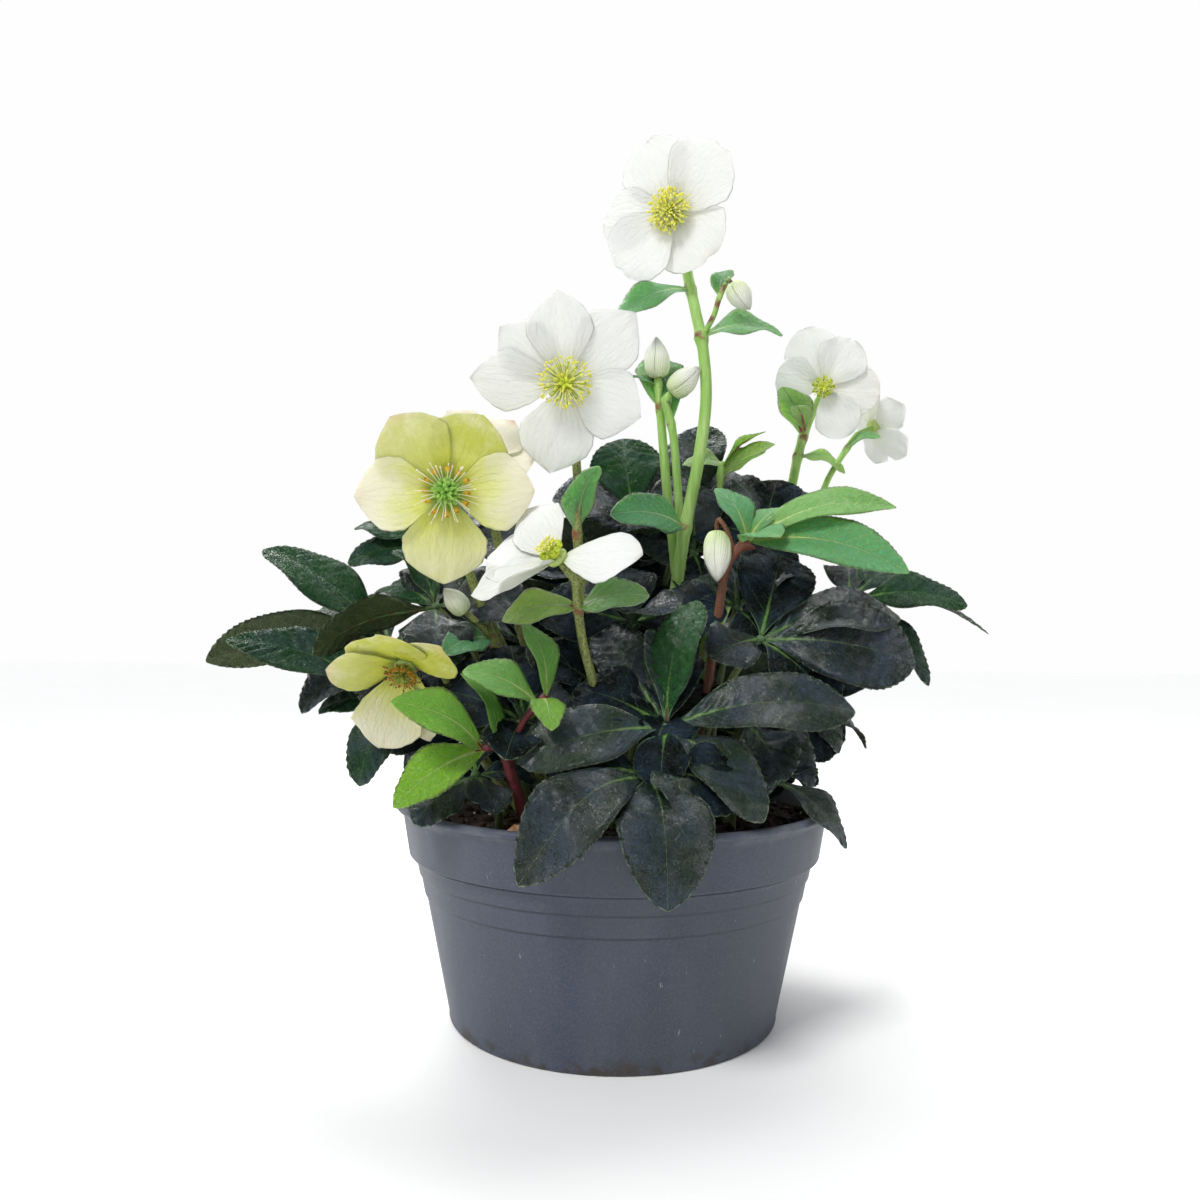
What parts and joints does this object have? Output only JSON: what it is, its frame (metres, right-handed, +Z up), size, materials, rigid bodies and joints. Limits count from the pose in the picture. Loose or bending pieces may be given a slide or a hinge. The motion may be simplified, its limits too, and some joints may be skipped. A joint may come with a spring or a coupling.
{
  "type": "potted hellebore",
  "caption": "Hellebore perennial in a round nursery pot: dark leathery leaves on petioles, flower stems with white and lime-cream blooms, buds, bracts and young shoots.",
  "frame": {"origin": "centre of the pot's flat underside, on the ground", "axes": "+Z up along the pot's axis, -Y towards the front of the clump, +X to its right as seen from the front"},
  "size_m": [0.4265, 0.2872, 0.4744],
  "materials": {
    "pot_plastic": "matte moulded plastic, slate grey",
    "soil": "damp peaty compost",
    "leaf_dark": "leathery, dark green with a blue-grey sheen",
    "leaf_young": "soft, light green",
    "stem_green": "smooth, light green",
    "stem_speckled": "olive with fine red speckles",
    "tepal_white": "thin and satin, white",
    "tepal_cream": "thin and satin, lime cream",
    "stamen_yellow": "yellow anthers and nectaries",
    "stamen_green": "green carpels and nectaries",
    "bud_pale": "closed bud, greenish cream",
    "dry_leaf": "dry and curled, tan"
  },
  "bodies": {
    "root": {"pot": "pot_plastic", "soil": "soil", "dry_leaf_scrap": "dry_leaf", "leaf_front": "leaf_dark", "leaf_front_low": "leaf_dark", "leaf_right_big": "leaf_dark", "leaf_right_up": "leaf_dark", "leaf_far_right": "leaf_dark", "leaf_right_drop": "leaf_dark", "leaf_right_low": "leaf_dark", "leaf_right_rim": "leaf_dark", "leaf_left_big": "leaf_dark", "leaf_left_low": "leaf_dark", "leaf_left_mid": "leaf_dark", "leaf_left_up": "leaf_dark", "leaf_left_rim": "leaf_dark", "leaf_top_left": "leaf_dark", "leaf_top_mid": "leaf_dark", "leaf_top_front": "leaf_dark", "leaf_top_right": "leaf_dark", "leaf_middle": "leaf_dark", "leaf_middle_low": "leaf_dark", "leaf_left_inner": "leaf_dark", "leaf_far_1": "leaf_dark", "leaf_far_2": "leaf_dark", "leaf_far_3": "leaf_dark", "leaf_far_4": "leaf_dark", "leaf_far_5": "leaf_dark", "leaf_far_6": "leaf_dark", "stem_white_top": "stem_green", "stem_twin": "stem_green", "stem_white_mid": "stem_speckled", "stem_cream_big": "stem_speckled", "stem_cream_back": "stem_speckled", "stem_white_low": "stem_speckled", "stem_cream_low": "stem_speckled", "stem_right": "stem_green", "stem_tulip_bud": "stem_green", "shoot_right": "leaf_young", "shoot_left": "leaf_young", "tepals_white_top": "tepal_white", "stamens_white_top": "stamen_yellow", "tepals_white_mid": "tepal_white", "stamens_white_mid": "stamen_yellow", "tepals_cream_big": "tepal_cream", "stamens_cream_big": "stamen_green", "tepals_white_low": "tepal_white", "stamens_white_low": "stamen_yellow", "tepals_cream_low": "tepal_cream", "stamens_cream_low": "stamen_green", "tepals_white_right": "tepal_white", "stamens_white_right": "stamen_green", "tepals_white_far": "tepal_white", "tepals_cream_back": "tepal_cream", "bud_twin_left": "bud_pale", "bud_twin_right": "bud_pale", "bud_side": "bud_pale", "bud_hanging": "bud_pale", "bud_left": "bud_pale"}
  },
  "joints": []
}
